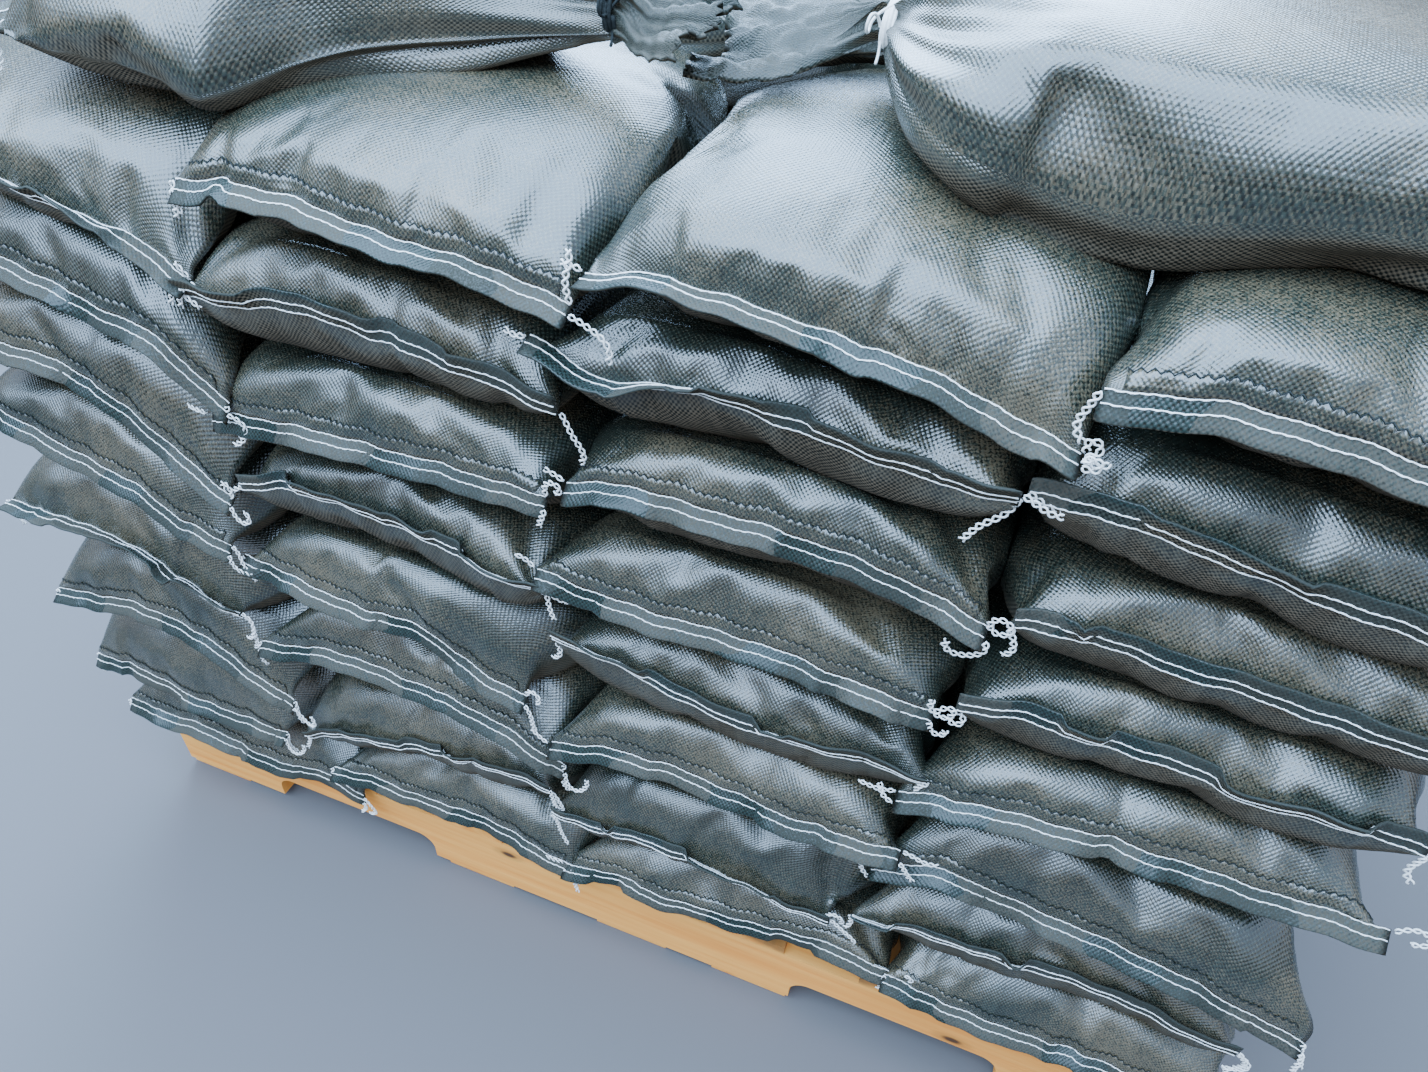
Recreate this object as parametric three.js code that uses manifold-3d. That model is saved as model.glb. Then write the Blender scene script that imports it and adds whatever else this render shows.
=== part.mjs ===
// A loaded pallet: a notched stringer pallet that carries tied sandbags in eight layers, with
// five more lying across the top. Millimetres, +Z up, the visible front of the stack at -Y.
// The origin is on the floor, below the middle of the pallet.
import * as THREE from 'three';
import * as BufferGeometryUtils from 'three/addons/utils/BufferGeometryUtils.js';
import Module from 'manifold-3d';

const wasm = await Module();
wasm.setup();

// Pallet, 48 by 40 inches
const palletLength = 1219;
const palletWidth = 1016;
const boardThickness = 12;
const stringerHeight = 89;
const stringerThickness = 38;
const seatGap = 0.3;

// Fork notches in the lower edge of each stringer
const notchFromEnd = 152;
const notchLength = 229;
const notchDepth = 38;
const notchRadius = 22;
const arcSteps = 4;

// Left edges of the bottom boards, measured from the pallet's left end
const bottomBoardWidth = 89;
const bottomBoardStarts = [0, 396, 598, 745, palletLength - bottomBoardWidth];
const bottomBoardInset = 4;

const leadBoardWidth = 140;
const innerBoardWidth = 89;
const innerBoards = 5;

// Sacks: woven cloth sewn flat, 356 wide, filled until they are about 100 thick
const sackPitch = 318;
const sackHalfWidth = 158.7;
const layerPitch = 99;
const layers = 8;
const columns = ['A', 'B', 'C', 'D'];
const hemEdge = 540;

// From the free edge of the sewn hem to the tie of the neck
const sackLength = 470;

// Sections of a sack. Inward is measured from the free edge of the hem, width and thickness are
// shares of the full sack's, and flat is the share of a section's width that is flat.
const hem = { depth: 24, halfThickness: 2.5, droop: 14, flat: 0.97 };
const endRound = { inward: 40, width: 0.97, thickness: 0.5, flat: 0.9 };
const shoulder = { inward: 78, width: 0.985, thickness: 0.86, flat: 0.78 };
const fullSection = { inward: 120, width: 1, thickness: 1, flat: 0.7 };
const tie = { halfWidth: 22, halfThickness: 13, flat: 0.6 };
const mouth = { length: 60, halfWidth: 42, halfThickness: 9, flat: 0.8 };

// The cone that gathers the cloth to the tie, with its width and thickness halfway along it
const pressedCone = { length: 160, width: 0.72, thickness: 0.74 };
const looseCone = { length: 230, width: 0.76, thickness: 0.62 };
const longCone = { length: 215, width: 0.6, thickness: 0.7 };
const bluntCone = { length: 130, width: 0.86, thickness: 0.76 };
const dropAtHalfCone = 0.3;

// The sacks of a hidden layer bulge this far past their share of its length, until they merge
const pressedBulge = 0.8;

// How far each layer of the stack stands out of line, from the top layer down
const layerShift = [30, 0, 0, -8, -12, -12, -18, 10];

// Where each hem ends, left and right of the middle of its sack and above it, top layer first
const hems = {
  A: [
    [[-155, -5], [145, -80]], [[-155, 0], [175, -100]], [[-155, 0], [140, -100]],
    [[-155, 20], [125, -65]], [[-175, -15], [105, -75]], [[-170, -40], [135, -90]],
    [[-165, -55], [105, -75]], [[-170, -20], [165, -44]],
  ],
  B: [
    [[-155, -5], [145, -30]], [[-155, 5], [160, -20]], [[-170, -10], [145, 5]],
    [[-155, 15], [145, 5]], [[-185, 10], [115, -50]], [[-200, -15], [150, -30]],
    [[-180, -75], [135, 5]], [[-180, -10], [170, -25]],
  ],
  C: [
    [[-165, -10], [145, -45]], [[-175, 50], [150, 10]], [[-155, 25], [155, 0]],
    [[-180, 25], [145, 5]], [[-170, 45], [160, 15]], [[-180, -5], [155, 25]],
    [[-185, -30], [115, -45]], [[-135, -20], [155, 15]],
  ],
  D: [
    [[-175, -10], [150, -15]], [[-165, 5], [160, -20]], [[-150, 10], [155, -5]],
    [[-160, 15], [145, 15]], [[-180, -15], [165, 30]], [[-185, -25], [180, -70]],
    [[-185, -20], [155, -10]], [[-155, 15], [150, -10]],
  ],
};
const backHems = [
  [[-165, -20], [150, 5]], [[-150, 10], [155, -15]], [[-155, -10], [160, 15]], [[-150, 5], [165, -20]],
];
const straightHem = [[-160, 0], [160, 0]];

// Top sacks: where the tie is, the turn about it, how far the sack sinks between the rows, and how
// far its neck hangs below its middle. With no turn the hem points to +X.
const topSacks = {
  sack_top_1: { at: [-28, -353], turn: 179, length: 440, cone: longCone, ends: [[-150, -10], [150, -35]] },
  sack_top_2: { at: [150, -300], turn: -5, cone: bluntCone },
  sack_top_3: { at: [-150, -150], turn: 26, sink: 15.5, neckDrop: 40 },
  sack_top_4: { at: [-62, 345], turn: 180 },
  sack_top_5: { at: [95, 345], turn: 1 },
};

const pine = new THREE.MeshStandardMaterial({ color: 0xd69e62, roughness: 0.75, metalness: 0 });
const sackCloth = new THREE.MeshStandardMaterial({ color: 0x4d5a50, roughness: 0.55, metalness: 0 });

const load = new THREE.Group();

function addPiece(name, geometry, material, x = 0, y = 0, z = 0) {
  const mesh = new THREE.Mesh(geometry, material);
  mesh.name = name;
  mesh.position.set(x, y, z);
  load.add(mesh);
  return mesh;
}

function board(name, length, width, x, y, bottom) {
  const geometry = new THREE.BoxGeometry(length, width, boardThickness);
  addPiece(name, geometry, pine, x, y, bottom + boardThickness / 2);
}

// The side of a stringer, with two notches whose upper corners are rounded, drawn in X and Y
function stringerOutline() {
  const half = palletLength / 2;
  const outline = new THREE.Shape();
  outline.moveTo(-half, 0);
  for (const start of [-half + notchFromEnd, half - notchFromEnd - notchLength]) {
    const end = start + notchLength;
    outline.lineTo(start, 0);
    outline.lineTo(start, notchDepth - notchRadius);
    outline.absarc(start + notchRadius, notchDepth - notchRadius, notchRadius, Math.PI, Math.PI / 2, true);
    outline.lineTo(end - notchRadius, notchDepth);
    outline.absarc(end - notchRadius, notchDepth - notchRadius, notchRadius, Math.PI / 2, 0, true);
    outline.lineTo(end, 0);
  }
  outline.lineTo(half, 0);
  outline.lineTo(half, stringerHeight);
  outline.lineTo(-half, stringerHeight);
  outline.closePath();
  return outline;
}

function addPallet() {
  const stringerBottom = boardThickness + seatGap;
  const deckBottom = stringerBottom + stringerHeight + seatGap;
  const stringerGeometry = new THREE.ExtrudeGeometry(stringerOutline(), {
    depth: stringerThickness,
    bevelEnabled: false,
    curveSegments: arcSteps,
  });
  // Stood up, so that the outline's Y becomes height and its depth runs towards -Y
  stringerGeometry.rotateX(Math.PI / 2);
  const outer = (palletWidth - stringerThickness) / 2;
  const places = { stringer_front: -outer, stringer_middle: 0, stringer_back: outer };
  for (const [name, y] of Object.entries(places)) {
    addPiece(name, stringerGeometry, pine, 0, y + stringerThickness / 2, stringerBottom);
  }
  bottomBoardStarts.forEach((start, index) => {
    const x = -palletLength / 2 + start + bottomBoardWidth / 2;
    board(`bottom_board_${index + 1}`, bottomBoardWidth, palletWidth - 2 * bottomBoardInset, x, 0, 0);
  });
  const lead = (palletLength - leadBoardWidth) / 2;
  board('deck_board_1', leadBoardWidth, palletWidth, -lead, 0, deckBottom);
  const room = palletLength - 2 * leadBoardWidth - innerBoards * innerBoardWidth;
  const step = innerBoardWidth + room / (innerBoards + 1);
  for (let index = 0; index < innerBoards; index += 1) {
    const x = (index - (innerBoards - 1) / 2) * step;
    board(`deck_board_${index + 2}`, innerBoardWidth, palletWidth, x, 0, deckBottom);
  }
  board(`deck_board_${innerBoards + 2}`, leadBoardWidth, palletWidth, lead, 0, deckBottom);
  return deckBottom + boardThickness + seatGap;
}

// One ring of eight points across the sack: flat above and below, and bulging at its sides. Its
// ends are given across the sack and in height.
function ring(inward, [left, leftHeight], [right, rightHeight], halfThickness, flat) {
  const side = 0.5;
  const outline = [
    [-flat, 1], [flat, 1], [1, side], [1, -side], [flat, -1], [-flat, -1], [-1, -side], [-1, side],
  ];
  return outline.map(([across, up]) => {
    const share = (across + 1) / 2;
    return new THREE.Vector3(
      THREE.MathUtils.lerp(left, right, share),
      inward - hemEdge,
      THREE.MathUtils.lerp(leftHeight, rightHeight, share) + up * halfThickness,
    );
  });
}

function levelRing(inward, halfWidth, halfThickness, flat, height = 0) {
  return ring(inward, [-halfWidth, height], [halfWidth, height], halfThickness, flat);
}

// Joins rings of equal count into one closed skin, with a flat cap at each end
function loft(rings) {
  const count = rings[0].length;
  const positions = rings.flat().flatMap((point) => point.toArray());
  const index = [];
  for (let row = 0; row + 1 < rings.length; row += 1) {
    for (let k = 0; k < count; k += 1) {
      const next = (k + 1) % count;
      const a = row * count + k;
      const b = row * count + next;
      index.push(a, b, a + count, b, b + count, a + count);
    }
  }
  const last = (rings.length - 1) * count;
  for (let k = 1; k + 1 < count; k += 1) {
    index.push(0, k + 1, k);
    index.push(last, last + k, last + k + 1);
  }
  const geometry = new THREE.BufferGeometry();
  geometry.setAttribute('position', new THREE.Float32BufferAttribute(positions, 3));
  geometry.setIndex(index);
  return geometry;
}

// A filled sack lying with its hem towards -Y: a thin sewn hem, a pillow, a cone of gathered cloth
// and a mouth spread behind the tie. Its middle height is at z = 0.
function sack({ ends = straightHem, length = sackLength, cone = pressedCone, neckDrop = 0 }) {
  const half = (layerPitch - seatGap) / 2;
  const [[left, leftHeight], [right, rightHeight]] = ends;
  const roundEnd = sackHalfWidth * endRound.width;
  const level = (inward, { width, thickness, flat }) => (
    levelRing(inward, sackHalfWidth * width, half * thickness, flat)
  );
  const coneWidth = sackHalfWidth * cone.width;
  const coneThickness = half * cone.thickness;
  const coneDrop = -neckDrop * dropAtHalfCone;
  return loft([
    ring(0, [left, leftHeight - hem.droop], [right, rightHeight - hem.droop], hem.halfThickness, hem.flat),
    ring(hem.depth, [left, leftHeight], [right, rightHeight], hem.halfThickness, hem.flat),
    ring(
      endRound.inward,
      [-roundEnd, leftHeight / 2],
      [roundEnd, rightHeight / 2],
      half * endRound.thickness,
      endRound.flat,
    ),
    level(shoulder.inward, shoulder),
    level(fullSection.inward, fullSection),
    level(length - cone.length, fullSection),
    levelRing(length - cone.length / 2, coneWidth, coneThickness, fullSection.flat, coneDrop),
    levelRing(length, tie.halfWidth, tie.halfThickness, tie.flat, -neckDrop),
    levelRing(length + mouth.length, mouth.halfWidth, mouth.halfThickness, mouth.flat, -neckDrop),
  ]);
}

function toSolid(geometry) {
  const bare = geometry.clone();
  bare.deleteAttribute('normal');
  bare.deleteAttribute('uv');
  const merged = BufferGeometryUtils.mergeVertices(bare);
  return new wasm.Manifold(new wasm.Mesh({
    numProp: 3,
    vertProperties: new Float32Array(merged.attributes.position.array),
    triVerts: new Uint32Array(merged.index.array),
  }));
}

function toGeometry(solid) {
  const mesh = solid.getMesh();
  const geometry = new THREE.BufferGeometry();
  geometry.setAttribute('position', new THREE.BufferAttribute(mesh.vertProperties, 3));
  geometry.setIndex(new THREE.BufferAttribute(mesh.triVerts, 1));
  return geometry;
}

// The four sacks of one layer behind the visible row, pressed together side by side
function backLayer() {
  const pressed = (sackPitch / 2 + pressedBulge) / sackHalfWidth;
  let layer = null;
  backHems.forEach((ends, index) => {
    const geometry = sack({ ends });
    geometry.scale(pressed, 1, 1);
    geometry.rotateZ(Math.PI);
    geometry.translate((index - (columns.length - 1) / 2) * sackPitch, 0, 0);
    const solid = toSolid(geometry);
    layer = layer ? layer.add(solid) : solid;
  });
  return toGeometry(layer);
}

const loadBottom = addPallet();

for (let layer = 0; layer < layers; layer += 1) {
  const fromFloor = loadBottom + (layers - 1 - layer + 0.5) * layerPitch;
  const cone = layer === 0 ? looseCone : pressedCone;
  columns.forEach((column, index) => {
    const x = (index - (columns.length - 1) / 2) * sackPitch + layerShift[layer];
    const geometry = sack({ ends: hems[column][layer], cone });
    addPiece(`sack_${column}${layer + 1}`, geometry, sackCloth, x, 0, fromFloor);
  });
  addPiece(`sack_row_back_${layer + 1}`, backLayer(), sackCloth, layerShift[layer], 0, fromFloor);
}

const topMiddle = loadBottom + (layers + 0.5) * layerPitch;
for (const [name, topSack] of Object.entries(topSacks)) {
  const { at: [x, y], turn, sink = 0, length = sackLength } = topSack;
  const geometry = sack(topSack);
  geometry.translate(0, hemEdge - length, 0);
  geometry.rotateZ(THREE.MathUtils.degToRad(turn + 90));
  addPiece(name, geometry, sackCloth, x, y, topMiddle - sink);
}

export default load;
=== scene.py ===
import math
import bpy
import numpy as np
from mathutils import Matrix, Vector


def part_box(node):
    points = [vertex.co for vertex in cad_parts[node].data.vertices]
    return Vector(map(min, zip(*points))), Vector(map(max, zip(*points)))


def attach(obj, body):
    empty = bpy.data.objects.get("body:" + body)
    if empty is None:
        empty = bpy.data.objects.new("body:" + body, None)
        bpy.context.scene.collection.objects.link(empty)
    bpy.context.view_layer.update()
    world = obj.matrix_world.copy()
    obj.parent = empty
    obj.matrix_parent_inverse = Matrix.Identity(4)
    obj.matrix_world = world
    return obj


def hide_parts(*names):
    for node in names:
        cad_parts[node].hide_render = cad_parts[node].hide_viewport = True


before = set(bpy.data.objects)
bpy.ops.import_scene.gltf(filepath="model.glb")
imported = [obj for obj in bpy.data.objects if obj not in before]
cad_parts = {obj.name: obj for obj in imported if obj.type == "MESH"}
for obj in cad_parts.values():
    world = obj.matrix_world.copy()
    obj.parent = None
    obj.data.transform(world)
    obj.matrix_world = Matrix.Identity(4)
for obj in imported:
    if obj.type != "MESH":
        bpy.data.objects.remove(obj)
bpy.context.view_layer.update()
scene = bpy.context.scene
metre = 1000.0  # lengths are in millimetres until a mesh is made


# Camera, at the place and angle that the photo was taken from

viewpoint = {
    "place": (293, -1017, 1129),
    "azimuth": 19.43,
    "elevation": 41.1,
    "roll": 2.88,
    "focalPixels": 990,
    "imageWidth": 1428,
    "sensor": 36,
}


def addCamera():
    azimuth, elevation, roll = (math.radians(viewpoint[key]) for key in ("azimuth", "elevation", "roll"))
    data = bpy.data.cameras.new("camera")
    data.sensor_width = viewpoint["sensor"]
    data.lens = viewpoint["focalPixels"] / viewpoint["imageWidth"] * viewpoint["sensor"]
    camera = bpy.data.objects.new("camera", data)
    pose = Matrix.Translation(Vector(viewpoint["place"]) / metre)
    for angle, axis in ((azimuth, "Z"), (math.pi / 2 - elevation, "X"), (roll, "Z")):
        pose = pose @ Matrix.Rotation(angle, 4, axis)
    camera.matrix_world = pose
    scene.collection.objects.link(camera)
    scene.camera = camera


addCamera()


# Shader nodes from expressions. A Wire is a node's output, and arithmetic on it adds Math nodes.

class Wire:
    def __init__(self, shader, socket):
        self.shader = shader
        self.socket = socket

    def maths(self, operation, *terms, clamp=False):
        settings = {"operation": operation, "use_clamp": clamp}
        return self.shader.node("ShaderNodeMath", settings, [self, *terms])

    def __add__(self, other):
        return self.maths("ADD", other)

    def __sub__(self, other):
        return self.maths("SUBTRACT", other)

    def __mul__(self, other):
        return self.maths("MULTIPLY", other)

    def __rsub__(self, other):
        return self.maths("MULTIPLY_ADD", -1, other)

    __radd__ = __add__
    __rmul__ = __mul__

    def sine(self):
        return self.maths("SINE")

    def size(self):
        return self.maths("ABSOLUTE")

    def whole(self):
        return self.maths("FLOOR")

    def clamped(self):
        return self.maths("ADD", 0, clamp=True)

    def pick(self, output):
        return Wire(self.shader, self.socket.node.outputs[output])


class Shader:
    def __init__(self, owner):
        owner.use_nodes = True
        self.owner = owner
        self.tree = owner.node_tree
        self.tree.nodes.clear()

    # Adds a node: its settings first, then the values or links of its inputs, by name or in order
    def node(self, kind, settings=None, inputs=()):
        made = self.tree.nodes.new(kind)
        for key, value in (settings or {}).items():
            if key == "stops":
                self.setStops(made.color_ramp, value)
            else:
                setattr(made, key, value)
        pairs = inputs.items() if isinstance(inputs, dict) else enumerate(inputs)
        for key, value in pairs:
            if isinstance(value, Wire):
                self.tree.links.new(value.socket, made.inputs[key])
            else:
                made.inputs[key].default_value = value
        return Wire(self, made.outputs[0]) if made.outputs else made

    def setStops(self, ramp, stops):
        while len(ramp.elements) < len(stops):
            ramp.elements.new(1.0)
        for element, (place, colour) in zip(ramp.elements, stops):
            element.position = place
            element.color = colour

    def noise(self, vector, scale, detail=2.0, roughness=0.5):
        values = {"Vector": vector, "Scale": scale, "Detail": detail, "Roughness": roughness}
        return self.node("ShaderNodeTexNoise", {}, values)

    def mix(self, share, first, second):
        return self.node("ShaderNodeMix", {"data_type": "RGBA"}, {0: share, 6: first, 7: second}).pick(2)

    def steps(self, value, low, high):
        kind = {"interpolation_type": "SMOOTHSTEP"}
        return self.node("ShaderNodeMapRange", kind, [value, low, high, 0.0, 1.0])

    def place(self):
        return self.node("ShaderNodeTexCoord").pick("Object")

    def vector(self, *values):
        return self.node("ShaderNodeCombineXYZ", {}, values)

    def split(self, vector):
        x = self.node("ShaderNodeSeparateXYZ", {}, [vector])
        return x, x.pick("Y"), x.pick("Z")

    # A random number for each cell of a grid
    def chance(self, x, y):
        cell = self.vector(x.whole(), y.whole())
        return self.node("ShaderNodeTexWhiteNoise", {"noise_dimensions": "2D"}, [cell])

    # matt is the share of a surface with no gloss at all
    def finish(self, height=None, matt=None, **inputs):
        values = {key.replace("_", " "): value for key, value in inputs.items()}
        if height is not None:
            bump = {"Strength": 1.0, "Distance": 1.0, "Height": height}
            values["Normal"] = self.node("ShaderNodeBump", {}, bump)
        surface = self.node("ShaderNodeBsdfPrincipled", {}, values)
        if matt is not None:
            values.update({"Roughness": 1.0, "Specular IOR Level": 0.0})
            dull = self.node("ShaderNodeBsdfPrincipled", {}, values)
            surface = self.node("ShaderNodeMixShader", {}, [matt, surface, dull])
        self.node("ShaderNodeOutputMaterial", {}, {"Surface": surface})
        return self.owner


# Woven polypropylene: flat tapes in a plain weave, dust on the crossings, a satin shine. Each kind
# takes its colours from the table: matt is the roughness that full dust adds, and patchwork the
# share by which the dust changes from one straight run of a hem to the next.

clothLook = {
    "tapePitch": 0.0019,
    "tapeDrift": 0.003,       # how far the tapes wander
    "tapeNoise": (520, 14),   # scale across a tape and along it
    "dustScale": 9,
    "foldScale": 22,
    "crumpleScale": 48,
    "runScale": 18,           # straight runs of a hem in a metre
    "pebbleHeight": 0.00011,
    "warpHeight": 0.00022,
    "weftHeight": 0.00008,
    "crumpleHeight": 0.0006,
    "darkGreen": (0.006, 0.008, 0.006, 1),
    "green": (0.029, 0.040, 0.031, 1),
    "dust": (0.185, 0.135, 0.076, 1),
    "grime": (0.165, 0.128, 0.086, 1),
    "stripDust": (0.034, 0.034, 0.026, 1),
    "stripTan": (0.070, 0.062, 0.047, 1),
    "stripGreen": (0.020, 0.038, 0.034, 1),
}
clothKinds = {
    "woven_cloth": {"light": "green", "dust": "dust", "dustiness": 0.6, "matt": 0.2, "gloss": 1.0},
    "hem_cloth": {
        "light": "stripGreen", "dust": "stripDust", "dustiness": 0.3, "matt": 0.8, "gloss": 0.35,
        "patchwork": 0.8,
    },
    "mouth_cloth": {"light": "green", "dust": "stripTan", "dustiness": 1.0, "matt": 0.5, "gloss": 0.35},
}


def wovenCloth(name, light, dust, dustiness, matt, gloss, patchwork=0):
    light, dust, dark, grime = (clothLook[key] for key in (light, dust, "darkGreen", "grime"))
    shader = Shader(bpy.data.materials.new(name))
    solid = shader.place()
    across, along, _ = shader.split(shader.node("ShaderNodeUVMap", {"uv_map": "cloth"}))
    _, _, upward = shader.split(shader.node("ShaderNodeNewGeometry").pick("Normal"))

    # Tapes cross at a pitch: each crossing is a bump or a dimple, by turns, of its own brightness
    drift = (shader.noise(solid, 30, 1) - 0.5) * clothLook["tapeDrift"]
    warp, weft = (way * (1 / clothLook["tapePitch"]) for way in (across + drift, along - drift))
    pebbles = (warp * math.pi).sine() * (weft * math.pi).sine()
    fine, coarse = clothLook["tapeNoise"]
    warpTapes = shader.noise(shader.vector(across * fine, along * coarse), 1, 1)
    weftTapes = shader.noise(shader.vector(across * coarse, along * fine, 3.0), 1, 1)

    # More dust lies by the hem, and a little more on level cloth. Undersides are matt and brown.
    level, byHem, below = (
        shader.steps(value, low, high)
        for value, low, high in ((upward, 0.6, 1.0), (along, 0.085, 0.025), (upward, 0.05, -0.45))
    )
    film = shader.noise(solid, clothLook["dustScale"], 4, 0.55) + level * 0.06 + byHem * 0.09
    crossing, speck = shader.chance(warp, weft), shader.chance(warp * 2, weft * 2)
    spots = shader.steps(film + (speck - 0.5) * 0.42 + pebbles * 0.1, 0.44, 0.92)
    dusty = spots * (upward * 0.2 + 0.8) * (1 - below * 0.8) * dustiness
    if patchwork:
        run = (across * clothLook["runScale"] + shader.noise(solid, 25, 1) * 1.5).whole()
        patch = shader.node("ShaderNodeTexWhiteNoise", {"noise_dimensions": "1D"}, {"W": run})
        dusty = dusty + shader.steps(patch, 0.4, 0.55) * (speck * 0.8 + 0.25) * patchwork
        dust = shader.mix(shader.steps(patch, 0.7, 0.8), dust, clothLook["stripTan"])
    dusty = dusty.clamped()
    # The weave's relief is painted into the colour too, by the same pebbles as the bump: painted shade in the
    # dimples and painted highlight on the bumps, stronger on undersides, over the tapes' own random tone
    toneAndReliefShade = warpTapes * 0.8 + weftTapes * 0.3 - 0.05 + pebbles * (below * 0.35 + 0.55)
    toneAndReliefShade = toneAndReliefShade + (crossing - 0.5) * 0.35
    woven = shader.mix(toneAndReliefShade.clamped(), dark, shader.mix(below * 0.9, light, grime))

    folds = (shader.noise(solid, clothLook["foldScale"], 2, 0.5) - 0.5).size()
    crumple = (shader.noise(solid, clothLook["crumpleScale"], 2, 0.55) - 0.5) * 0.6 - folds * 0.7
    weave = pebbles * clothLook["pebbleHeight"] + warpTapes * clothLook["warpHeight"]
    return shader.finish(
        height=weave + weftTapes * clothLook["weftHeight"] + crumple * clothLook["crumpleHeight"],
        matt=below * 0.8,
        Base_Color=shader.mix(dusty, woven, dust),
        Roughness=0.19 + dusty * matt + crossing * 0.06 + below * 0.4,
        Specular_IOR_Level=gloss,
    )


# White sewing thread and the dark cord of the ties, whose finish also draws the painted shadow along each
# pinked edge. fuzz is the scale and height of their bumps.
stringKinds = {
    "thread": {
        "fuzz": (900, 0.0004), "patches": 40, "colours": ((0.80, 0.80, 0.78, 1), (0.97, 0.97, 0.95, 1)),
        "Roughness": 0.75,
    },
    "tie_cord_and_edge_shadow": {
        "fuzz": (500, 0.0006), "patches": 500, "colours": ((0.006, 0.008, 0.008, 1), (0.03, 0.035, 0.035, 1)),
        "Roughness": 0.85, "Specular_IOR_Level": 0.15,
    },
}


def stringFinish(name, fuzz, patches, colours, **rest):
    shader = Shader(bpy.data.materials.new(name))
    solid = shader.place()
    scale, height = fuzz
    colour = shader.mix(shader.noise(solid, patches, 2), *colours)
    return shader.finish(height=shader.noise(solid, scale, 2) * height, Base_Color=colour, **rest)


sackFinishes = [wovenCloth(name, **kind) for name, kind in clothKinds.items()]
sackFinishes += [stringFinish(name, **kind) for name, kind in stringKinds.items()]
clothIndex, stripIndex, mouthIndex, threadIndex, cordAndShadowIndex = range(5)


# Surface parts as arrays. A part is its points and its sets of faces: three or four corners each,
# the corners' places on the cloth, and the numbers of their finishes.

# Each number's size to a power, with its sign kept
def signedPower(values, power):
    return np.sign(values) * np.abs(values) ** power


# Eases from 0 to 1: three times the square less twice the cube
def smooth(values):
    values = np.clip(values, 0, 1)
    return values * values * (3 - 2 * values)


# Coordinates side by side, as points
def joined(*coordinates):
    return np.stack(np.broadcast_arrays(*coordinates), axis=-1)


# Points spaced evenly round a superellipse: cosine and sine to the power 2 / power, times half the
# width and half the height. They run from its left end over the top and back below.
def evenRing(count, halfWidth, halfHeight, power):
    angles = np.linspace(math.pi, -math.pi, 4001)
    x = signedPower(np.cos(angles), 2 / power) * halfWidth
    z = signedPower(np.sin(angles), 2 / power) * halfHeight
    along = np.concatenate([[0], np.cumsum(np.hypot(np.diff(x), np.diff(z)))])
    places = np.linspace(0, along[-1], count, endpoint=False)
    return np.interp(places, along, x), np.interp(places, along, z)


# Faces of a grid whose columns close into a ring: row by row, column by column
def ringFaces(rows, columns):
    row, column = np.mgrid[0:rows - 1, 0:columns]
    here = row * columns + column
    beside = row * columns + (column + 1) % columns
    return joined(here, beside, beside + columns, here + columns).reshape(-1, 4)


# Closes a flattened ring: each point over the top is joined to the one below it
def zipFaces(columns, first, outward):
    if columns < 8:
        k = np.arange(1, columns - 1)
        sets = [joined(0, k + 1, k)]
    else:
        half = columns // 2
        k = np.arange(1, half - 1)
        sets = [joined(k, columns - k, columns - k - 1, k + 1)]
        sets.append(np.array([[0, columns - 1, 1], [half - 1, half + 1, half]]))
    return [first + (faces if outward else faces[:, ::-1]) for faces in sets]


# A closed ring grid. Its finish is one number, or one for each row of faces. Its cloth is around
# wide in all, and lengthwise gives each row's place along it.
def gridPart(points, finish, around, lengthwise):
    rows, columns, _ = points.shape
    finish = np.broadcast_to(finish, rows - 1)
    row, column = np.mgrid[0:rows - 1, 0:columns]
    corners = [(0, 0), (0, 1), (1, 1), (1, 0)]
    spots = [joined((column + right) * around / columns, lengthwise[row + down]) for down, right in corners]
    places = np.stack(spots, axis=-2).reshape(-1, 4, 2)
    sets = [(ringFaces(rows, columns), places, np.repeat(finish, columns))]
    for first, outward, row in ((0, True, 0), ((rows - 1) * columns, False, -1)):
        for faces in zipFaces(columns, first, outward):
            sets.append((faces, np.zeros((*faces.shape, 2)), np.full(len(faces), finish[row])))
    return {"points": points.reshape(-1, 3), "faces": sets}


# A round section carried along a path: each point is the path plus radius times cosine and sine on
# two axes square to it. The axes follow a direction that the path never takes.
def tubePart(path, radius, sides, finish, beside=(0, -1, 0)):
    path = np.asarray(path, float)
    forward = np.gradient(path, axis=0)
    forward /= np.linalg.norm(forward, axis=1, keepdims=True)
    first = np.cross(forward, np.asarray(beside, float))
    first /= np.linalg.norm(first, axis=1, keepdims=True)
    second = np.cross(forward, first)
    angle = (np.arange(sides) * 2 * math.pi / sides)[::-1, None]
    section = np.cos(angle) * first[:, None, :] + np.sin(angle) * second[:, None, :]
    points = path[:, None, :] + np.broadcast_to(radius, len(path))[:, None, None] * section
    return gridPart(points, finish, 0.0, np.zeros(len(path)))


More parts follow.
